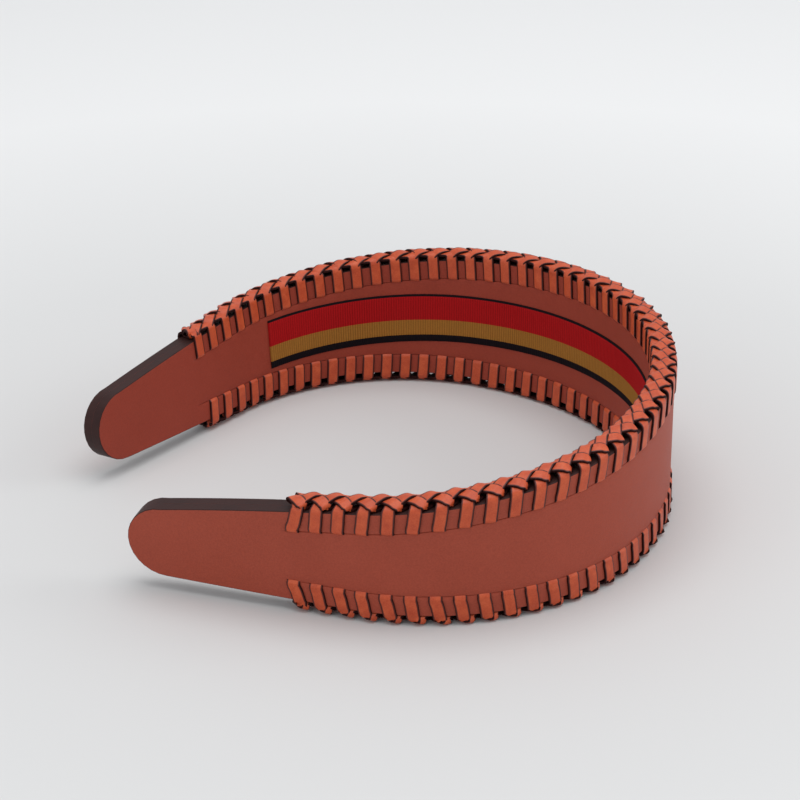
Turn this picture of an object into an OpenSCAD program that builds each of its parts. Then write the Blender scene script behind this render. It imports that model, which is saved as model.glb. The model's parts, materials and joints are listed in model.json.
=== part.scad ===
// Wide leather headband with buttonhole-laced edges, lying on its lower edge.
// The band is a horseshoe in plan: a crown arc, two tighter shoulder arcs and two straight legs
// that converge towards the rounded tips. +X points out of the crown, the legs run towards -X,
// the left leg is at -Y and the right leg at +Y, and the floor is at z = 0.

/* [Plan of the band] */
// Radius of the crown arc, to the middle of the band's thickness
crown_r = 67.5; // [60:0.5:75]
// Angle that the crown arc turns through on each side, in degrees
crown_turn = 50; // [45:1:55]
// Radius of the shoulder arcs, to the middle of the thickness
shoulder_r = 50; // [45:0.5:56]
// Angle that each shoulder arc turns through, in degrees
shoulder_turn = 75.5; // [70:0.5:80]
// Length of each straight leg
leg_len = 49.5; // [42:0.5:56]

/* [Width of the band] */
// Width of the leather at the crown
crown_w = 34; // [30:0.5:38]
// Fall of the upper edge for each millimetre behind the crown
top_slope = 0.119; // [0.08:0.001:0.14]
// Extra fall of the upper edge at the tips
tip_drop = 2.2; // [0:0.1:4]
// Rise of the lower edge at the tips
tip_lift = 2.0; // [0:0.1:4]
// Radius of the rounded tips
tip_r = 8; // [7:0.1:9]

/* [Layers] */
// Thickness of the outer leather, and of the lining leather
leather_t = 2.5; // [2:0.1:3]
// Thickness of the springy strip between the leathers
core_t = 1.2; // [0.8:0.1:1.6]
// Distance from the leather's edges to the springy strip
core_inset = 8; // [7:0.5:10]
// Width of the ribbon on the lining
ribbon_w = 12.5; // [10:0.5:14]
// Thickness of the ribbon
ribbon_t = 0.5; // [0.3:0.1:0.8]
// Length of the ribbon on each side of the crown
ribbon_len = 115; // [100:1:125]

/* [Lacing] */
// Number of stitches along each edge on each side of the crown
stitches = 28; // [20:1:28]
// Distance between stitches
pitch = 5; // [4.9:0.05:5.05]
// Width of the flat lace
lace_w = 2.4; // [2:0.1:3]
// Thickness of the flat lace
lace_t = 0.8; // [0.7:0.1:1]
// Distance from the leather's edge to the middle of a slit
slit_depth = 4.8; // [4.5:0.1:6]
// Height of the braid that the lace makes on the leather's edge
braid_h = 2.3; // [1.8:0.1:2.6]

/* [Flexing] */
// Largest angle that the right side opens by when the band is spread, in degrees
open_max = 25; // [10:1:30]
// Largest angle that the right side closes by when the band is squeezed, in degrees
close_max = 8; // [4:1:10]

/* [Hidden] */
half_t = leather_t;
// Straps, slits and braid keep this small gap from the leather and from each other
gap = 0.05;
edge_gap = 0.3;
crown_len = crown_r * crown_turn * PI / 180;
shoulder_len = shoulder_r * shoulder_turn * PI / 180;
curve_len = crown_len + shoulder_len;
full_turn = crown_turn + shoulder_turn;
band_len = curve_len + leg_len;
// Centres of the crown arc and of the right shoulder arc
crown_c = [-crown_r, 0];
shoulder_c = crown_c + (crown_r - shoulder_r) * [cos(crown_turn), sin(crown_turn)];
// Distances behind the crown where the two edges start to bend towards the tips
lift_start = 55;
drop_start = 79;
tip_depth = -centre_at(band_len)[0];
// The crown sits this far ahead of the middle of the band's depth
crown_x = (tip_depth + half_t * sin(full_turn - 90) - half_t - lace_t - gap) / 2;
// Heights and lengths that reach past the whole band
over = 80;
pocket_gap = 0.05;
core_end = 12;
braid_side = 0.5;

// Direction of the outward normal at a distance s along the band from the crown, in degrees
function turn_at(s) =
    s <= crown_len ? crown_turn * s / crown_len
    : crown_turn + shoulder_turn * (min(s, curve_len) - crown_len) / shoulder_len;

function ray(a) = [cos(a), sin(a)];

// Middle of the band's thickness at a distance s from the crown, on the right side
function centre_at(s) =
    s <= crown_len ? crown_c + crown_r * ray(turn_at(s))
    : shoulder_c + shoulder_r * ray(turn_at(s)) + max(0, s - curve_len) * ray(full_turn + 90);

function point_at(s, n) = centre_at(s) + n * ray(turn_at(s));

// Distances along the band at the corners of its plan outline, up to the last one
curve_stations = concat(
    [for (i = [0:20]) crown_len * i / 20],
    [for (i = [1:30]) crown_len + shoulder_len * i / 30]);
function stations(last) = concat([for (s = curve_stations) if (s < last - 1) s], [last]);

// Heights of the leather's two edges at a distance behind the crown
function low_edge(depth) =
    braid_h + tip_lift * pow(max(0, depth - lift_start) / (tip_depth - lift_start), 2);
function top_edge(depth) =
    braid_h + crown_w - top_slope * depth
    - tip_drop * pow(max(0, depth - drop_start) / (tip_depth - drop_start), 2);
function middle(depth) = (low_edge(depth) + top_edge(depth)) / 2;

depths = concat([-10, lift_start], [for (d = [60:5:145]) d]);

// Plan outline of the right side between two distances from the middle of the thickness
module plan(n_in, n_out, last) {
    s_list = stations(last);
    count = len(s_list);
    polygon(concat(
        [for (i = [0:count - 1]) point_at(s_list[i], n_out)],
        [for (i = [count - 1:-1:0]) point_at(s_list[i], n_in)]));
}

// Upright wall of the right side, between two curves seen from the side
module wall(n_in, n_out, last, low_curve, top_curve) {
    count = len(depths);
    intersection() {
        linear_extrude(over) plan(n_in, n_out, last);
        translate([0, over, 0]) rotate([90, 0, 0]) linear_extrude(2 * over)
            polygon(concat(
                [for (i = [0:count - 1]) [-depths[i], low_curve(depths[i])]],
                [for (i = [count - 1:-1:0]) [-depths[i], top_curve(depths[i])]]));
    }
}

// Places its children on the right side at a distance s: x outwards, y along the band
module at(s, z) {
    p = centre_at(s);
    translate([p[0], p[1], z]) rotate([0, 0, turn_at(s)]) children();
}

// What is cut away at the crown, so that the two sides can swing without meeting
module crown_notch(reach) {
    open_y = 0.2 + reach * tan(open_max / 2 + 1);
    close_y = 0.2 + reach * tan(close_max / 2 + 1);
    translate([0, 0, -1]) linear_extrude(over)
        polygon([[reach, open_y], [0, 0.2], [-reach, close_y],
                 [-reach, -close_y], [0, -0.2], [reach, -open_y]]);
}

// Cuts the corners of a layer's tip to a half round of the tip's radius, less an inset
module rounded_tip(inset) {
    s_round = band_len - tip_r;
    z_round = middle(-centre_at(s_round)[0]);
    difference() {
        children();
        difference() {
            at(s_round, z_round) translate([-over / 4, 0, -over / 4]) cube(over / 2);
            at(s_round, z_round) rotate([0, 90, 0])
                cylinder(h = over, r = tip_r - inset, center = true, $fn = 64);
        }
    }
}

// A slit for each stitch along both edges, cut through a layer
module slits() {
    for (i = [0:stitches - 1]) {
        s = (i + 0.5) * pitch;
        depth = -centre_at(s)[0];
        for (z = [low_edge(depth) + slit_depth, top_edge(depth) - slit_depth])
            at(s, z) cube([4 * leather_t, lace_w + 0.2, lace_t + 2 * gap], center = true);
    }
}

// The springy strip's outline, grown by a gap for the pocket that holds it
module core_shape(grow) {
    wall(-core_t / 2 - grow, core_t / 2 + grow, band_len - core_end + grow,
        function(d) low_edge(d) + core_inset - grow, function(d) top_edge(d) - core_inset + grow);
}

// One leather layer of the right side, with its half of the pocket and its slits
module leather(n_in, n_out) {
    difference() {
        rounded_tip(0) wall(n_in, n_out, band_len, function(d) low_edge(d), function(d) top_edge(d));
        core_shape(pocket_gap);
        slits();
        crown_notch(leather_t + 1);
    }
}

module spring_core() {
    difference() {
        core_shape(0);
        crown_notch(leather_t + 1);
    }
}

module ribbon() {
    difference() {
        wall(-half_t - ribbon_t, -half_t, ribbon_len,
            function(d) middle(d) - ribbon_w / 2, function(d) middle(d) + ribbon_w / 2);
        crown_notch(leather_t + 1);
    }
}

// One stitch: the lace runs down one face, through the slit, up the other face and over the edge
module stitch(slit_z, edge_z) {
    side = edge_z > slit_z ? 1 : -1;
    low = min(slit_z - side * lace_t / 2, edge_z + side * (edge_gap + lace_t));
    high = max(slit_z - side * lace_t / 2, edge_z + side * (edge_gap + lace_t));
    hole_low = min(slit_z + side * lace_t / 2, edge_z + side * edge_gap);
    hole_high = max(slit_z + side * lace_t / 2, edge_z + side * edge_gap);
    width = 2 * (half_t + gap);
    translate([0, lace_w / 2, 0]) rotate([90, 0, 0]) linear_extrude(lace_w) difference() {
        translate([-width / 2 - lace_t, low]) square([width + 2 * lace_t, high - low]);
        translate([-width / 2, hole_low]) square([width, hole_high - hole_low]);
    }
}

// The lace along one edge of the right side: its stitches, joined by the braid on the edge
module lace(upper) {
    last = stitches * pitch;
    side = upper ? 1 : -1;
    edge = upper ? function(d) top_edge(d) : function(d) low_edge(d);
    difference() {
        union() {
            wall(-half_t - braid_side, half_t + braid_side, last,
                function(d) edge(d) + (upper ? edge_gap : -braid_h),
                function(d) edge(d) + (upper ? braid_h : -edge_gap));
            for (i = [0:stitches - 1]) {
                s = (i + 0.5) * pitch;
                z = edge(-centre_at(s)[0]);
                at(s, 0) stitch(z - side * slit_depth, z);
            }
        }
        crown_notch(leather_t + 1);
    }
}

// Moves the finished band so that the middle of its outline is on the axes' origin
module placed(left) {
    translate([crown_x, 0, 0]) mirror([0, left ? 1 : 0, 0]) children();
}

module left_outer_cover() { color([0.55, 0.25, 0.2]) placed(true) leather(0, half_t); }
module right_outer_cover() { color([0.55, 0.25, 0.2]) placed(false) leather(0, half_t); }
module left_inner_lining() { color([0.49, 0.19, 0.16]) placed(true) leather(-half_t, 0); }
module right_inner_lining() { color([0.49, 0.19, 0.16]) placed(false) leather(-half_t, 0); }
module left_spring_core() { color([0.15, 0.15, 0.15]) placed(true) spring_core(); }
module right_spring_core() { color([0.15, 0.15, 0.15]) placed(false) spring_core(); }
module left_ribbon() { color([0.45, 0.3, 0.12]) placed(true) ribbon(); }
module right_ribbon() { color([0.45, 0.3, 0.12]) placed(false) ribbon(); }
module left_upper_lace() { color([0.8, 0.34, 0.2]) placed(true) lace(true); }
module right_upper_lace() { color([0.8, 0.34, 0.2]) placed(false) lace(true); }
module left_lower_lace() { color([0.8, 0.34, 0.2]) placed(true) lace(false); }
module right_lower_lace() { color([0.8, 0.34, 0.2]) placed(false) lace(false); }

left_outer_cover();
right_outer_cover();
left_inner_lining();
right_inner_lining();
left_spring_core();
right_spring_core();
left_ribbon();
right_ribbon();
left_upper_lace();
right_upper_lace();
left_lower_lace();
right_lower_lace();
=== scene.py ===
"""The looks of a laced leather headband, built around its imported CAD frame.

Lengths are in millimetres until a mesh is made. A place on the band is given by u, the distance
along the band from the crown (negative on the left side), n, the distance outwards from the middle
of its thickness, and z, the height above the floor.
"""

import json
import math

import bmesh
import bpy
import numpy as np
from mathutils import Matrix, Vector


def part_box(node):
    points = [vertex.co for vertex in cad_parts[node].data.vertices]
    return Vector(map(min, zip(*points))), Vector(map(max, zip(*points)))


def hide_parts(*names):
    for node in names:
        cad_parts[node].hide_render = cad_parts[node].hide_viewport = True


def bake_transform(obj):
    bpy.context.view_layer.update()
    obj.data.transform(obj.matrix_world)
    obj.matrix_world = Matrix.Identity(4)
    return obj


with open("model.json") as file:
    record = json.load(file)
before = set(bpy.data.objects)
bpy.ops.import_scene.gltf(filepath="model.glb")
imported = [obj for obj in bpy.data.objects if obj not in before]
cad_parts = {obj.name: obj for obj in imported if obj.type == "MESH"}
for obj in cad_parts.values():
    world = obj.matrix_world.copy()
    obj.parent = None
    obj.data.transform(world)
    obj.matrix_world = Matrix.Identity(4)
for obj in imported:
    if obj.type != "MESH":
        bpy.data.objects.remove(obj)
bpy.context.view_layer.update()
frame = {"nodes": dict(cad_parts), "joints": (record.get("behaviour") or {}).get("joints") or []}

MM = 0.001

# ---- The band's driving dimensions: the CAD part's own, but for slightly tighter tips ----
CROWN_R = 67.5
CROWN_TURN = math.radians(50)
SHOULDER_R = 50.0
SHOULDER_TURN = math.radians(75.5)
LEG_LEN = 49.5
HALF_T = 2.5
TIP_R = 7.9
RIBBON_W = 12.5
RIBBON_LEN = 115.0
STITCHES = 28
SLIT_DEPTH = 4.8
# The band leans outwards a little towards its tips
TIP_LEAN = math.radians(4.5)
LEAN_START = 20.0
LEAN_FULL = 110.0
# Middle of the first strap and the pitch of the slits, on the upper and the lower edge
FIRST_STRAP = -136.7
FIRST_LOWER_STRAP = -137.2
UPPER_PITCH = 5.016
LOWER_PITCH = 4.973

joint = frame["joints"][0]
CROWN_X = joint["pos_m"][0] / MM

CROWN_LEN = CROWN_R * CROWN_TURN
SHOULDER_LEN = SHOULDER_R * SHOULDER_TURN
CURVE_LEN = CROWN_LEN + SHOULDER_LEN
FULL_TURN = CROWN_TURN + SHOULDER_TURN
BAND_LEN = CURVE_LEN + LEG_LEN
SHOULDER_C = np.array([-CROWN_R + (CROWN_R - SHOULDER_R) * math.cos(CROWN_TURN),
                       (CROWN_R - SHOULDER_R) * math.sin(CROWN_TURN)])

# Heights of the leather's edges, from the CAD part's own cover
cover_low, cover_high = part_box("left_outer_cover")
LOW_Z = cover_low.z / MM
TOP_SLOPE = 0.119
# The cover is highest at its outer face, half a thickness ahead of the band's middle
TOP_Z = cover_high.z / MM - TOP_SLOPE * HALF_T
TIP_DROP = 2.2
# The leaning tips lift a little less than the CAD part's upright ones
TIP_LIFT = 1.75
LIFT_START = 55.0
DROP_START = 79.0


# ---- The band's shape ----
def turn_at(s):
    """Direction of the outward normal, from +X, at a distance s from the crown."""
    on_crown = s / CROWN_R
    on_shoulder = CROWN_TURN + (np.minimum(s, CURVE_LEN) - CROWN_LEN) / SHOULDER_R
    return np.where(s <= CROWN_LEN, on_crown, on_shoulder)


def plan_point(u, n):
    """x and y, in the frame's own axes, of points at u along the band and n out from its middle."""
    u = np.asarray(u, float)
    s = np.abs(u)
    turn = turn_at(s)
    past = np.maximum(0.0, s - CURVE_LEN)
    on_crown = s <= CROWN_LEN
    centre_x = np.where(on_crown, -CROWN_R, SHOULDER_C[0])
    centre_y = np.where(on_crown, 0.0, SHOULDER_C[1])
    radius = np.where(on_crown, CROWN_R, SHOULDER_R) + n
    x = centre_x + radius * np.cos(turn) - past * math.sin(FULL_TURN)
    y = centre_y + radius * np.sin(turn) + past * math.cos(FULL_TURN)
    return x + CROWN_X, np.where(u < 0, -y, y)


def depth_at(u):
    """Distance behind the crown of the band's middle line."""
    return CROWN_X - plan_point(u, 0.0)[0]


TIP_DEPTH = float(depth_at(BAND_LEN))


def low_edge(u):
    """Height of the leather's lower edge, which curves up towards the tips."""
    past = np.maximum(0.0, depth_at(u) - LIFT_START) / (TIP_DEPTH - LIFT_START)
    return LOW_Z + TIP_LIFT * past ** 2


def top_edge(u):
    """Height of the leather's upper edge, which slopes down and then curves down to the tips."""
    depth = depth_at(u)
    past = np.maximum(0.0, depth - DROP_START) / (TIP_DEPTH - DROP_START)
    return TOP_Z - TOP_SLOPE * depth - TIP_DROP * past ** 2


def lean_at(u):
    """How far the band leans outwards, in radians."""
    return TIP_LEAN * np.clip((np.abs(u) - LEAN_START) / (LEAN_FULL - LEAN_START), 0, 1)


def place(u, n, z):
    """Points on the band in the frame's own axes, in metres. It leans about its middle height."""
    u = np.asarray(u, float)
    lean = lean_at(u)
    middle = (low_edge(u) + top_edge(u)) / 2
    rise = z - middle
    x, y = plan_point(u, n * np.cos(lean) + rise * np.sin(lean))
    height = middle + rise * np.cos(lean) - n * np.sin(lean)
    return np.stack([x, y, height], -1) * MM


# ---- Meshes ----
SHARP_ANGLE = math.radians(40)


def make_mesh(name, points, faces, materials, face_slots=None):
    mesh = bpy.data.meshes.new(name)
    mesh.from_pydata(np.asarray(points).reshape(-1, 3).tolist(), [], faces)
    for material in materials:
        mesh.materials.append(material)
    if face_slots is not None:
        mesh.polygons.foreach_set("material_index", np.asarray(face_slots, np.int32))
    mesh.polygons.foreach_set("use_smooth", np.full(len(mesh.polygons), True))
    mesh.validate()
    mesh.update()
    mesh.set_sharp_from_angle(angle=SHARP_ANGLE)
    piece = bpy.data.objects.new(name, mesh)
    bpy.context.scene.collection.objects.link(piece)
    return piece


def point_attribute(piece, name, values):
    attribute = piece.data.attributes.new(name, "FLOAT", "POINT")
    attribute.data.foreach_set("value", np.asarray(values, np.float32).ravel())


def across_crown(piece, slot, *nodes):
    """The piece runs over the crown in one: the CAD part's left and right pieces are hidden in its place.
    """
    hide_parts(*["left_" + node for node in nodes], *["right_" + node for node in nodes])
    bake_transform(piece)


# ---- Materials ----
# The Mix node's sockets for colours: its factor, its two colours and its result
MIX_FACTOR, MIX_FIRST, MIX_SECOND, MIX_RESULT = 0, 6, 7, 2


class Nodes:
    """A short way to write a node material."""

    def __init__(self, name):
        self.material = bpy.data.materials.new(name)
        self.material.use_nodes = True
        self.tree = self.material.node_tree
        self.shader = self.tree.nodes["Principled BSDF"]

    def add(self, kind, **values):
        node = self.tree.nodes.new("ShaderNode" + kind)
        for key, value in values.items():
            if key in node.inputs:
                node.inputs[key].default_value = value
            else:
                setattr(node, key, value)
        return node

    def link(self, start, end):
        self.tree.links.new(start, end)

    def noise(self, scale, detail=4.0, roughness=0.55, stretch=None):
        coords = self.add("TexCoord").outputs["Object"]
        if stretch:
            mapping = self.add("Mapping")
            mapping.inputs["Scale"].default_value = stretch
            self.link(coords, mapping.inputs["Vector"])
            coords = mapping.outputs["Vector"]
        node = self.add("TexNoise", Scale=scale, Detail=detail, Roughness=roughness)
        self.link(coords, node.inputs["Vector"])
        return node.outputs["Fac"]

    def attribute(self, name):
        return self.add("Attribute", attribute_name=name).outputs["Fac"]

    def ramp(self, value, stops, interpolation="LINEAR"):
        node = self.add("ValToRGB")
        node.color_ramp.interpolation = interpolation
        elements = node.color_ramp.elements
        while len(elements) > 1:
            elements.remove(elements[-1])
        for i, (position, colour) in enumerate(stops):
            element = elements[0] if i == 0 else elements.new(position)
            element.position = position
            element.color = (*colour, 1.0)
        self.link(value, node.inputs["Fac"])
        return node.outputs["Color"]

    def mix(self, amount, first, second, blend="MIX"):
        node = self.add("Mix", data_type="RGBA", blend_type=blend)
        for number, value in ((MIX_FACTOR, amount), (MIX_FIRST, first), (MIX_SECOND, second)):
            socket = node.inputs[number]
            if isinstance(value, bpy.types.NodeSocket):
                self.link(value, socket)
            elif isinstance(value, tuple):
                socket.default_value = (*value, 1.0)
            else:
                socket.default_value = value
        return node.outputs[MIX_RESULT]

    def maths(self, operation, first, second=None):
        node = self.add("Math", operation=operation)
        for socket, value in zip(node.inputs, (first, second)):
            if isinstance(value, bpy.types.NodeSocket):
                self.link(value, socket)
            elif value is not None:
                socket.default_value = value
        return node.outputs["Value"]

    def range(self, value, low, high, to_low, to_high):
        node = self.add("MapRange")
        self.link(value, node.inputs["Value"])
        limits = {"From Min": low, "From Max": high, "To Min": to_low, "To Max": to_high}
        for name, number in limits.items():
            node.inputs[name].default_value = number
        return node.outputs["Result"]

    def bump(self, height, distance, strength=1.0, after=None):
        node = self.add("Bump", Distance=distance, Strength=strength)
        self.link(height, node.inputs["Height"])
        if after is not None:
            self.link(after, node.inputs["Normal"])
        return node.outputs["Normal"]

    def finish(self, colour=None, roughness=None, normal=None, **constants):
        for socket, value in (("Base Color", colour), ("Roughness", roughness), ("Normal", normal)):
            if isinstance(value, bpy.types.NodeSocket):
                self.link(value, self.shader.inputs[socket])
            elif value is not None:
                self.shader.inputs[socket].default_value = value
        for key, value in constants.items():
            self.shader.inputs[key.replace("_", " ")].default_value = value
        return self.material


def leather(name, dark, mid, light, rough):
    """Fine-grained smooth leather: cloudy colour, small pores and soft wrinkles."""
    m = Nodes(name)
    clouds = m.noise(90, 5)
    speckle = m.noise(2600, 3)
    colour = m.ramp(clouds, [(0.3, dark), (0.52, mid), (0.75, light)])
    darkest = tuple(0.80 * c for c in dark)
    lightest = tuple(1.18 * c for c in light)
    colour = m.mix(0.40, colour, m.ramp(speckle, [(0.3, darkest), (0.7, lightest)]))
    coords = m.add("TexCoord").outputs["Object"]
    pores = m.add("TexVoronoi", Scale=2300.0, feature="DISTANCE_TO_EDGE")
    m.link(coords, pores.inputs["Vector"])
    grain = m.range(pores.outputs["Distance"], 0.0, 0.12, 0.0, 1.0)
    normal = m.bump(grain, 0.00004, 0.35)
    normal = m.bump(m.noise(700, 4), 0.00012, 0.35, after=normal)
    roughness = m.range(speckle, 0.3, 0.7, rough - 0.05, rough + 0.07)
    return m.finish(colour, roughness, normal, Specular_IOR_Level=0.22)


cover_leather = leather(
    "cover_leather", (0.325, 0.056, 0.030), (0.346, 0.061, 0.033), (0.368, 0.067, 0.037), 0.52)
lining_leather = leather(
    "lining_leather", (0.270, 0.039, 0.020), (0.290, 0.042, 0.022), (0.310, 0.047, 0.026), 0.56)


def edge_paint_material():
    m = Nodes("edge_paint")
    clouds = m.noise(260, 4)
    colour = m.ramp(clouds, [(0.3, (0.027, 0.010, 0.009)), (0.7, (0.042, 0.016, 0.014))])
    normal = m.bump(m.noise(900, 5), 0.00010, 0.4)
    return m.finish(colour, m.range(clouds, 0.3, 0.7, 0.48, 0.58), normal, Specular_IOR_Level=0.16)


edge_paint = edge_paint_material()


def lace_material():
    """Orange grain side of the lace: mottled, with a dark rim along both edges that is partly dye and
    partly painted shade from the lace's cut edges.
    """
    m = Nodes("lace_grain")
    clouds = m.noise(420, 5)
    speckle = m.noise(3200, 3)
    colour = m.ramp(
        clouds, [(0.3, (0.41, 0.047, 0.012)), (0.52, (0.50, 0.068, 0.018)), (0.75, (0.60, 0.107, 0.032))])
    colour = m.mix(0.25, colour, m.ramp(speckle, [(0.3, (0.42, 0.045, 0.014)), (0.7, (0.72, 0.15, 0.055))]))
    # The dark rim on the face is partly dye and partly painted shade along the lace's edges
    dye_and_shade_rim = m.range(m.maths("ABSOLUTE", m.attribute("across")), 0.70, 0.80, 0.0, 1.0)
    colour = m.mix(dye_and_shade_rim, colour, (0.07, 0.008, 0.004))
    normal = m.bump(m.noise(1800, 4), 0.00006, 0.45)
    return m.finish(colour, m.range(speckle, 0.3, 0.7, 0.36, 0.50), normal, Specular_IOR_Level=0.38)


def lace_edge_material():
    m = Nodes("lace_edge")
    colour = m.ramp(m.noise(1500, 3), [(0.3, (0.010, 0.002, 0.002)), (0.7, (0.034, 0.005, 0.004))])
    return m.finish(colour, 0.65, m.bump(m.noise(2500, 3), 0.00006, 0.5), Specular_IOR_Level=0.12)


lace_grain = lace_material()
lace_edge = lace_edge_material()


def ribbon_material():
    """Striped grosgrain: yarn-coloured stripes, each rib lighter on its crest, with painted shade in the
    grooves between the ribs.
    """
    m = Nodes("ribbon_grosgrain")
    black, olive, red = (0.006, 0.004, 0.006), (0.340, 0.145, 0.026), (0.400, 0.007, 0.009)
    stripes = m.ramp(m.attribute("across"),
                     [(0.0, black), (0.148, olive), (0.462, red), (0.958, black)], "CONSTANT")
    yarn = m.noise(1600, 3, stretch=(1.0, 1.0, 3.0))
    colour = m.mix(0.35, stripes, m.range(yarn, 0.3, 0.7, 0.75, 1.25), "MULTIPLY")
    # Painted shade: the grooves between the ribs are darkened, the crests keep the stripe colour
    colour = m.mix(m.range(m.attribute("crest"), 0.0, 1.0, 0.42, 0.0), colour, (0.012, 0.003, 0.003))
    normal = m.bump(m.noise(4200, 2), 0.00005, 0.5)
    return m.finish(colour, 0.75, normal, Specular_IOR_Level=0.08)


ribbon_fabric = ribbon_material()


# ---- Leather layers ----
U_STEP = 0.8
TIP_STEPS = 14
# The two scribed lines run along the slits, end just past the last stitch and fade out there
SCRIBE_PAST = 2.3
SCRIBE_START = FIRST_STRAP - SCRIBE_PAST
SCRIBE_END = FIRST_STRAP + (2 * STITCHES - 1) * UPPER_PITCH + SCRIBE_PAST
SCRIBE_FADE = 0.8
SCRIBE_DEPTH = 0.28
SCRIBE_HALF_W = 0.12
# Where the straight edges of the band end and its round tips begin
U_ROUND = BAND_LEN - TIP_R

# The back of each leather layer stops this far short of the glue line
GLUE_GAP = 0.01

# Rings of one leather layer, from the glue line to the middle of its face:
# inset from the outline, and how far the ring lies under the face
EDGE_RINGS = [(0.0, HALF_T - GLUE_GAP), (0.0, 1.2), (0.0, 0.30), (0.0, 0.16), (0.05, 0.05), (0.14, 0.0)]
FACE_RINGS = [(0.30, 0.0), (0.75, 0.0), (2.2, 0.0), (SLIT_DEPTH - 0.30, 0.0),
              (SLIT_DEPTH - SCRIBE_HALF_W, 0.06), (SLIT_DEPTH, SCRIBE_DEPTH),
              (SLIT_DEPTH + SCRIBE_HALF_W, 0.06), (SLIT_DEPTH + 0.30, 0.0), (6.4, 0.0)]


def layer_ring(inset, sink, side):
    """One closed loop round the band, parallel to its outline. side is 1 on the cover, -1 on the lining."""
    along = np.linspace(-U_ROUND, U_ROUND, int(2 * U_ROUND / U_STEP) + 1)
    angles = np.linspace(math.pi / 2, -math.pi / 2, TIP_STEPS + 1)[1:-1]
    middle = (low_edge(U_ROUND) + top_edge(U_ROUND)) / 2
    radius = (top_edge(U_ROUND) - low_edge(U_ROUND)) / 2 - inset
    tip_u = U_ROUND + radius * np.cos(angles)
    tip_z = middle + radius * np.sin(angles)
    u = np.concatenate([along, tip_u, along[::-1], -tip_u[::-1]])
    z = np.concatenate([top_edge(along) - inset, tip_z, (low_edge(along) + inset)[::-1], tip_z[::-1]])
    depth = np.full(u.shape, sink)
    on_scribed_line = abs(inset - SLIT_DEPTH) < 1.5 * SCRIBE_HALF_W
    if on_scribed_line:
        depth *= np.clip(np.minimum(SCRIBE_END - u, u - SCRIBE_START) / SCRIBE_FADE, 0, 1)
    return place(u, side * (HALF_T - depth), z), len(along)


def fill_inside(first, along, row_at, points, faces, slots):
    """Closes a ring with rows between its two long sides, and a fan of quads at each tip."""
    top = [first + i for i in range(along)]
    bottom = [first + along + TIP_STEPS - 1 + (along - 1 - i) for i in range(along)]
    grid = [top]
    for row in range(1, TIP_STEPS):
        base = sum(len(p) for p in points)
        points.append(row_at(row / TIP_STEPS))
        grid.append([base + i for i in range(along)])
    grid.append(bottom)
    for upper, lower in zip(grid, grid[1:]):
        for i in range(along - 1):
            faces.append((upper[i], lower[i], lower[i + 1], upper[i + 1]))
            slots.append(0)
    right = [top[-1]] + [first + along + k for k in range(TIP_STEPS - 1)] + [bottom[-1]]
    left = [bottom[0]] + [first + 2 * along + TIP_STEPS - 1 + k for k in range(TIP_STEPS - 1)] + [top[0]]
    right_column = [line[-1] for line in grid]
    left_column = [line[0] for line in grid][::-1]
    for arc, column in ((right, right_column), (left, left_column)):
        for k in range(TIP_STEPS):
            corners = [arc[k], column[k], column[k + 1], arc[k + 1]]
            faces.append(tuple(c for i, c in enumerate(corners) if c not in corners[:i]))
            slots.append(0)


def leather_layer(name, material, side):
    """One leather layer: a face, a painted edge and a flat back on the glue line."""
    points, faces, slots, starts = [], [], [], []
    rings = EDGE_RINGS + FACE_RINGS
    for inset, sink in rings:
        ring, along = layer_ring(inset, sink, side)
        starts.append(sum(len(p) for p in points))
        points.append(ring)
    count = len(points[0])
    for r in range(len(rings) - 1):
        for k in range(count):
            j = (k + 1) % count
            faces.append((starts[r] + k, starts[r] + j, starts[r + 1] + j, starts[r + 1] + k))
            slots.append(1 if r < len(EDGE_RINGS) - 1 else 0)
    u = np.linspace(-U_ROUND, U_ROUND, along)

    def rows_within(ring):
        inset, sink = ring

        def row_at(share):
            z = (top_edge(u) - inset) * (1 - share) + (low_edge(u) + inset) * share
            return place(u, side * (HALF_T - sink), z)
        return row_at

    fill_inside(starts[-1], along, rows_within(rings[-1]), points, faces, slots)
    fill_inside(starts[0], along, rows_within(rings[0]), points, faces, slots)
    piece = make_mesh(name, np.concatenate(points), faces, [material, edge_paint], slots)
    tidy_normals(piece)
    return piece


def tidy_normals(piece):
    """Turns every face of the piece outwards."""
    mesh = bmesh.new()
    mesh.from_mesh(piece.data)
    bmesh.ops.recalc_face_normals(mesh, faces=mesh.faces)
    mesh.to_mesh(piece.data)
    mesh.free()


outer_cover = leather_layer("outer_cover", cover_leather, 1)
across_crown(outer_cover, "cover_leather", "outer_cover")
inner_lining = leather_layer("inner_lining", lining_leather, -1)
across_crown(inner_lining, "lining_leather", "inner_lining")


# ---- Ribbon ----
RIB_PITCH = 0.65
RIB_HEIGHT = 0.10
RIB_STEPS = 6
# Below 1 the crests of the ribs are broad and the grooves between them narrow
RIB_SHAPE = 0.8
RIBBON_T = 0.42
RIBBON_ROWS = 24
# The ribbon's long edges are rounded off over this width, down to this share of its thickness
RIBBON_ROUND = 0.35
RIBBON_EDGE_SHARE = 0.45
# The back of the ribbon lies this far within the lining, as glued
GLUE_SINK = 0.02


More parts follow.
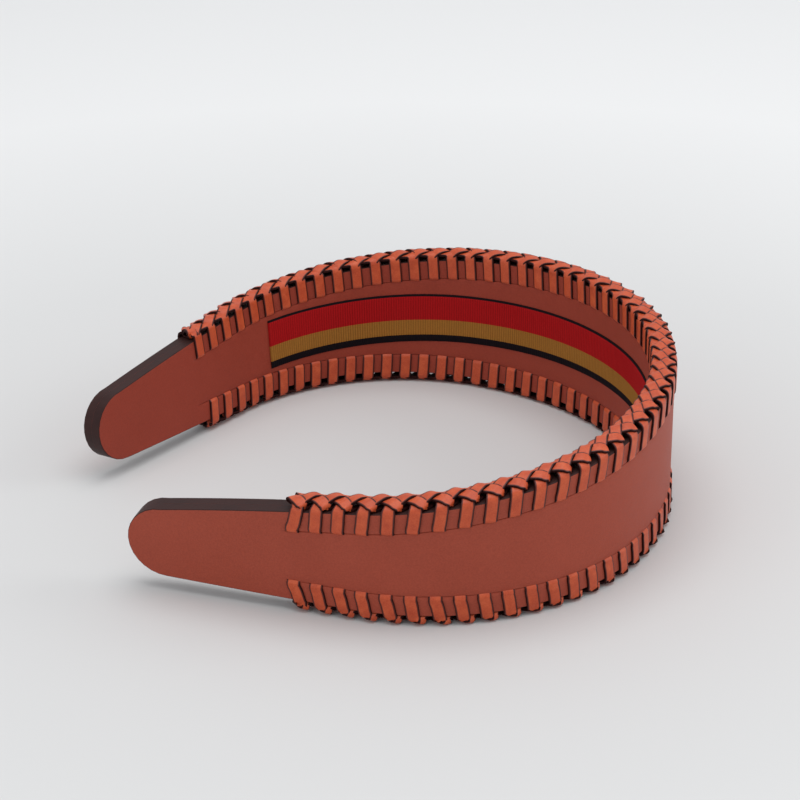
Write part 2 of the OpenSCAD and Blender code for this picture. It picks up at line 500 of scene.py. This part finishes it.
def grosgrain_ribbon():
    """A flat ribbon with a rib across it at each pitch, following the band's middle height."""
    ribs = int(2 * RIBBON_LEN / RIB_PITCH)
    u = np.linspace(-RIBBON_LEN, RIBBON_LEN, ribs * RIB_STEPS + 1)
    across = np.linspace(0, 1, RIBBON_ROWS + 1)
    crest = np.abs(np.cos(math.pi * u / RIB_PITCH)) ** RIB_SHAPE
    middle = (low_edge(u) + top_edge(u)) / 2
    edge_round = np.minimum(1, np.minimum(across, 1 - across) * RIBBON_W / RIBBON_ROUND)
    front, back = [], []
    for share, thick in zip(across, edge_round):
        z = middle + RIBBON_W * (share - 0.5)
        rounding = RIBBON_EDGE_SHARE + (1 - RIBBON_EDGE_SHARE) * thick
        height = (RIBBON_T - RIB_HEIGHT * (1 - crest)) * rounding
        front.append(place(u, -HALF_T - height, z))
        back.append(place(u, -HALF_T + GLUE_SINK, z))
    columns = len(u)
    points = np.concatenate(front + back)
    half = columns * (RIBBON_ROWS + 1)
    faces = []
    for r in range(RIBBON_ROWS):
        for i in range(columns - 1):
            a = r * columns + i
            faces.append((a, a + columns, a + columns + 1, a + 1))
            faces.append((half + a, half + a + 1, half + a + columns + 1, half + a + columns))
    for i in range(columns - 1):
        top = RIBBON_ROWS * columns + i
        faces.append((i, i + 1, half + i + 1, half + i))
        faces.append((top, half + top, half + top + 1, top + 1))
    for r in range(RIBBON_ROWS):
        a, b = r * columns, (r + 1) * columns
        faces.append((a, half + a, half + b, b))
        a, b = a + columns - 1, b + columns - 1
        faces.append((a, b, half + b, half + a))
    piece = make_mesh("ribbon", points, faces, [ribbon_fabric])
    point_attribute(piece, "across", np.tile(np.repeat(across, columns), 2))
    point_attribute(piece, "crest", np.tile(np.tile(crest, RIBBON_ROWS + 1), 2))
    tidy_normals(piece)
    return piece


ribbon = grosgrain_ribbon()
across_crown(ribbon, "ribbon_fabric", "ribbon")


# ---- Lacing ----
LACE_W = 2.95
LACE_T = 0.65
# The straps are pulled into the leather, so they stand only a little proud of it
STRAP_N = HALF_T + 0.12
# Heights of the middle of the lace above the leather's edge, in the braid's three layers
LAYER_1 = 0.35
LAYER_2 = 1.10
LAYER_3 = 1.90
# Places, out from the band's middle, where the outer and the inner cells cross over the lace
OUT_CELL_N = 0.85
IN_CELL_N = 1.15
# The lower braid is pressed outwards and flattened where the band stands on it
LOWER_OUT = 1.6
LOWER_WIDEST = 2.5
LOWER_DOWN = 1.1
LOWER_DEEPEST = 1.85
LOWER_TURN = 2.0
FLOOR_GAP = 0.02
# The lace is in the braid above this height and nearer than this to the band's middle
BRAID_H = 0.3
BRAID_HALF_W = 2.4
# It is squeezed a little in the cells, more where it turns back and most where it is tucked under
CELL_SHARE = 0.92
TURNING_SHARE = 0.60
TUCKED_SHARE = 0.42
# Beyond this width it keeps a cell's share. Nearer in, it turns back below the first heights, for
# the upper and the lower braid, and is tucked under below the last
CELL_HALF_W = 2.0
UPPER_TURNING_H = 1.0
LOWER_TURNING_H = 1.4
TUCKED_H = 0.7
# Distance along the band from one strap to the next in the stitch below
STITCH = 5.0
# The last stitch is pulled together so that nothing passes the last strap
LAST_SQUEEZE = 0.2
# Sideways lean of the outer straps above their slits, and how unevenly the stitches are pulled
UPPER_LEAN = 0.45
LOWER_LEAN = 0.7
LEAN_SPREAD = 0.1
PULL_SPREAD = 0.05
UPPER_SEED = 11
LOWER_SEED = 12
# The first strap is pulled further sideways, towards the first cell
FIRST_LEAN = 1.2


def stitch_path(lean):
    """The lace's way through one stitch: along the band, outwards, above the edge, and the way it faces.

    It comes out of the slit on the inner face, passes under one cell, is the outer cell, turns back
    under the braid, is the inner cell, passes under the outer cell and goes down the outer face.
    """
    return [
        (0.00, 0.0, -4.80, (0, -0.1, -1)),
        (0.00, -2.0, -4.78, (0, -0.3, -1)),
        (0.00, -STRAP_N + 0.05, -4.40, (0, -1, -0.4)),
        (0.03, -STRAP_N, -3.70, (0, -1, 0)),
        (0.15, -STRAP_N, -1.80, (0, -1, 0)),
        (0.28, -STRAP_N, -0.20, (0, -1, 0.1)),
        (0.36, -2.60, 0.50, (0, -1, 0.25)),
        (0.50, -2.40, 1.05, (0, -0.85, 0.5)),
        (0.85, -2.00, 1.38, (0, -0.5, 0.9)),
        (1.60, -1.60, 1.45, (0, -0.2, 1)),
        (3.65, -IN_CELL_N, LAYER_2 + 0.25, (0, 0, 1)),
        (4.90, -0.15, 1.75, (-0.15, 0.1, 1)),
        (6.10, OUT_CELL_N, LAYER_3, (0.03, 0.38, 1)),
        (6.75, 1.32, 1.62, (0.15, 0.5, 0.9)),
        (7.25, 1.68, 1.36, (0.7, 0.6, 0.4)),
        (7.42, 1.75, 0.96, (0.7, 0.5, -0.3)),
        (7.45, 1.40, 0.50, (0.2, 0.1, -1)),
        (8.20, 0.8, LAYER_1, (0, 0, -1)),
        (9.10, -0.4, LAYER_1, (0, 0, -1)),
        (9.90, -0.9, 0.45, (0, 0, -1)),
        (10.45, -1.60, 0.80, (0.5, -0.5, -0.5)),
        (10.55, -1.78, 1.20, (0.7, -0.7, 0.3)),
        (10.10, -1.62, 1.68, (0.15, -0.5, 0.9)),
        (9.00, -IN_CELL_N, LAYER_3 + 0.20, (-0.03, -0.2, 1)),
        (7.60, -0.2, 1.85, (-0.1, 0.1, 1)),
        (6.10, OUT_CELL_N, LAYER_2, (0, 0.2, 1)),
        (5.55 + lean / 2, 1.50, LAYER_2 - 0.05, (-0.1, 0.35, 1)),
        (5.20 + lean, 2.15, 0.76, (-0.1, 0.7, 0.8)),
        (5.08 + lean, 2.50, 0.25, (0, 1, 0.4)),
        (5.02 + 0.85 * lean, STRAP_N, -0.60, (0, 1, 0.1)),
        (5.00 + 0.45 * lean, STRAP_N, -2.50, (0, 1, 0)),
        (5.00, STRAP_N, -3.80, (0, 1, 0)),
        (5.00, STRAP_N - 0.05, -4.40, (0, 1, -0.4)),
        (5.00, 2.0, -4.78, (0, 0.3, -1)),
    ]


# Points of a stitch from which it is the outer cell, and up to which it is tucked under the braid
CELL_START = 11
TUCK_END = 10


def smooth_through(values, steps):
    """A Catmull-Rom curve through the rows of values."""
    ends = np.vstack([2 * values[0] - values[1], values, 2 * values[-1] - values[-2]])
    t = (np.arange(steps) / steps)[None, :, None]
    a, b, c, d = (ends[i:len(ends) - 3 + i][:, None, :] for i in range(4))
    curve = 0.5 * (2 * b + (c - a) * t + (2 * a - 5 * b + 4 * c - d) * t ** 2
                   + (3 * b - a - 3 * c + d) * t ** 3)
    return np.vstack([curve.reshape(-1, values.shape[1]), values[-1:]])


# The lace's section: across its half width and through its thickness, grain side first
LACE_SECTION = [(-0.70, 0.5), (0.0, 0.54), (0.70, 0.5), (0.93, 0.44), (1.0, 0.30), (1.0, -0.30),
                (0.92, -0.46), (0.0, -0.50), (-0.92, -0.46), (-1.0, -0.30), (-1.0, 0.30), (-0.93, 0.44)]
# The faces round the section that are on the grain side
GRAIN_FACES = (0, 1, 2, len(LACE_SECTION) - 1)
STEPS_PER_POINT = 4


def lace_along(name, edge, up):
    """One lace, braided over a whole edge. up is 1 on the upper edge and -1 on the lower one."""
    pitch = UPPER_PITCH if up > 0 else LOWER_PITCH
    first = FIRST_STRAP if up > 0 else FIRST_LOWER_STRAP
    random = np.random.default_rng(UPPER_SEED if up > 0 else LOWER_SEED)
    path, facing = lace_start(first)
    stitches = 2 * STITCHES - 1
    for k in range(stitches + 1):
        lean = (UPPER_LEAN if up > 0 else LOWER_LEAN) + random.normal(0, LEAN_SPREAD)
        shift, lift = random.normal(0, PULL_SPREAD, 2)
        points = stitch_path(lean) if k < stitches else stitch_path(lean)[:TUCK_END]
        for u, n, h, normal in points:
            if k == stitches - 1 and u > STITCH:
                u = STITCH + LAST_SQUEEZE * (u - STITCH)
            path.append((first + k * pitch + u + shift, n, h + lift * (h > 0)))
            facing.append(normal)
    widths = [width_share(n, h, up) for _, n, h in path]
    if up < 0:
        facing = [(f[0], f[1] * (LOWER_TURN if p[1] > 0 else 1), f[2]) for f, p in zip(facing, path)]
        path = [plumper(*point) for point in path]
    curve = smooth_through(np.array(path, float), STEPS_PER_POINT)
    normal = smooth_through(np.array(facing, float), STEPS_PER_POINT)
    width = smooth_through(np.array(widths, float)[:, None], STEPS_PER_POINT)
    return sweep_lace(name, curve, normal, width, edge, up)


def width_share(n, h, up):
    """How much of its own width the lace keeps at a place in the braid."""
    if h < BRAID_H or abs(n) > BRAID_HALF_W:
        return 1.0
    if abs(n) > CELL_HALF_W or h > (UPPER_TURNING_H if up > 0 else LOWER_TURNING_H):
        return CELL_SHARE
    return TURNING_SHARE if h > TUCKED_H else TUCKED_SHARE


def plumper(u, n, h):
    """A point of the braid pressed outwards and flattened, as it is under the band's weight."""
    if h > BRAID_H and n > 0:
        n = min(LOWER_WIDEST, n * LOWER_OUT)
    return u, n, min(LOWER_DEEPEST, h * LOWER_DOWN) if h > 0 else h


def lace_start(first):
    """The lace's end lies under the first cell: it turns back over itself and is that cell."""
    whole = stitch_path(FIRST_LEAN)
    tucked = [
        (5.9, 0.9, 0.5, (0, 0, -1)),
        (5.0, 0.1, 0.6, (0, 0, -1)),
        (4.3, -0.45, 0.85, (-0.5, -0.5, -0.5)),
        (4.1, -0.65, 1.35, (-0.7, -0.7, 0.1)),
        (4.5, -0.45, 1.80, (-0.3, -0.3, 0.8)),
    ]
    points = tucked + whole[CELL_START + 1:]
    return [(first - STITCH + u, n, h) for u, n, h, _ in points], [f for _, _, _, f in points]


def band_frame(u):
    """Unit vectors along the band, outwards and upwards at u, the last two leaning with the band."""
    s = np.abs(u)
    turn = turn_at(s)
    sign = np.where(u < 0, -1.0, 1.0)
    out = np.stack([np.cos(turn), sign * np.sin(turn), 0 * turn], -1)
    along = np.stack([-sign * np.sin(turn), np.cos(turn), 0 * turn], -1)
    lean = lean_at(u)[:, None]
    up = np.array([0.0, 0.0, 1.0])
    return along, out * np.cos(lean) - up * np.sin(lean), up * np.cos(lean) + out * np.sin(lean)


def sweep_lace(name, curve, facing, width, edge, up):
    """The lace's section, swept along its way through the braid and turned to face as it should."""
    u, n, h = curve.T
    centre = place(u, n, edge(u) + up * h)
    along, out, upward = band_frame(u)
    normal = facing[:, :1] * along + facing[:, 1:2] * out + facing[:, 2:3] * up * upward
    tangent = np.gradient(centre, axis=0)
    tangent /= np.linalg.norm(tangent, axis=1, keepdims=True)
    normal -= (normal * tangent).sum(1, keepdims=True) * tangent
    normal /= np.linalg.norm(normal, axis=1, keepdims=True)
    side = np.cross(tangent, normal)
    section = np.array(LACE_SECTION)
    half_w, thick = LACE_W * MM / 2, LACE_T * MM
    points = (centre[:, None, :] + (side * width)[:, None, :] * (section[None, :, :1] * half_w)
              + normal[:, None, :] * (section[None, :, 1:] * thick))
    points[:, :, 2] = np.maximum(points[:, :, 2], FLOOR_GAP * MM)
    rings, corners = len(u), len(section)
    faces, slots = [], []
    for r in range(rings - 1):
        for c in range(corners):
            d = (c + 1) % corners
            faces.append((r * corners + c, r * corners + d, (r + 1) * corners + d, (r + 1) * corners + c))
            slots.append(0 if c in GRAIN_FACES else 1)
    faces.append(tuple(range(corners))[::-1])
    faces.append(tuple((rings - 1) * corners + c for c in range(corners)))
    slots += [1, 1]
    piece = make_mesh(name, points, faces, [lace_grain, lace_edge], slots)
    point_attribute(piece, "across", np.tile(section[:, 0], rings))
    tidy_normals(piece)
    return piece


upper_lace = lace_along("upper_lace", top_edge, 1)
across_crown(upper_lace, "lace_leather", "upper_lace")
lower_lace = lace_along("lower_lace", low_edge, -1)
across_crown(lower_lace, "lace_leather", "lower_lace")


# ---- The springy strip, sealed between the leathers ----
def core_material():
    m = Nodes("core_plastic")
    colour = m.ramp(m.noise(300, 3), [(0.3, (0.010, 0.010, 0.010)), (0.7, (0.020, 0.020, 0.020))])
    roughness = m.range(m.noise(900, 3), 0.3, 0.7, 0.35, 0.5)
    return m.finish(colour, roughness, m.bump(m.noise(1200, 3), 0.00004, 0.4))


core_plastic = core_material()
for core in ("left_spring_core", "right_spring_core"):
    node = frame["nodes"][core]
    node.data.materials.clear()
    node.data.materials.append(core_plastic)


# ---- Floor, light and camera ----
bpy.context.scene.view_settings.view_transform = "Standard"


def floor_material():
    m = Nodes("floor_card")
    # Painted light and shade: the floor is darker near the band and lighter farther away from it
    away = m.add("VectorMath", operation="LENGTH")
    m.link(m.add("TexCoord").outputs["Object"], away.inputs[0])
    spread = m.maths("ADD", away.outputs["Value"], m.maths("MULTIPLY", m.noise(3, 2), 0.02))
    colour = m.ramp(m.range(spread, 0.03, 0.30, 0.0, 1.0),
                    [(0.0, (0.60, 0.59, 0.585)), (0.45, (0.66, 0.66, 0.655)), (1.0, (0.80, 0.80, 0.795))])
    return m.finish(colour, 0.85, Specular_IOR_Level=0.1)


FLOOR_SIZE_M = 6.0
bpy.ops.mesh.primitive_plane_add(size=FLOOR_SIZE_M, location=(0, 0, 0))
floor = bpy.context.object
floor.name = "floor"
floor.data.materials.append(floor_material())

world = bpy.data.worlds.new("studio")
bpy.context.scene.world = world
world.use_nodes = True
background = world.node_tree.nodes["Background"]
background.inputs["Color"].default_value = (0.95, 0.97, 1.0, 1.0)
background.inputs["Strength"].default_value = 0.70


def soft_light(name, place_m, aim_m, size, power):
    light = bpy.data.lights.new(name, "AREA")
    light.shape = "DISK"
    light.size = size
    light.energy = power
    lamp = bpy.data.objects.new(name, light)
    bpy.context.scene.collection.objects.link(lamp)
    lamp.location = place_m
    lamp.rotation_euler = (Vector(aim_m) - Vector(place_m)).to_track_quat("-Z", "Y").to_euler()


soft_light("overhead", (0.05, -0.05, 0.9), (0, 0, 0), 0.9, 4.0)
soft_light("side", (0.9, -0.25, 0.5), (0, 0, 0.02), 0.5, 1.6)
soft_light("fill", (-0.9, -0.3, 0.5), (0, 0, 0.02), 0.6, 0.9)

# The camera looks from the left and above, as a product photograph does
CAMERA_AZIMUTH = math.radians(-16.17)
CAMERA_ELEVATION = math.radians(24.80)
CAMERA_DISTANCE = 562.4
CAMERA_ROLL = math.radians(-0.716)
LENS = 111.0
AIM_BEHIND_CROWN = 58.76
AIM_ABOVE_EDGE = 20.23


def add_camera():
    data = bpy.data.cameras.new("camera")
    data.lens = LENS
    data.clip_start = 0.01
    camera = bpy.data.objects.new("camera", data)
    bpy.context.scene.collection.objects.link(camera)
    aim = Vector((CROWN_X - AIM_BEHIND_CROWN, 0.0, LOW_Z + AIM_ABOVE_EDGE)) * MM
    back = Vector((math.sin(CAMERA_AZIMUTH) * math.cos(CAMERA_ELEVATION),
                   -math.cos(CAMERA_AZIMUTH) * math.cos(CAMERA_ELEVATION), math.sin(CAMERA_ELEVATION)))
    turn = back.to_track_quat("Z", "Y").to_matrix() @ Matrix.Rotation(CAMERA_ROLL, 3, "Z")
    camera.location = aim + back * CAMERA_DISTANCE * MM
    camera.rotation_euler = turn.to_euler()
    bpy.context.scene.camera = camera


add_camera()
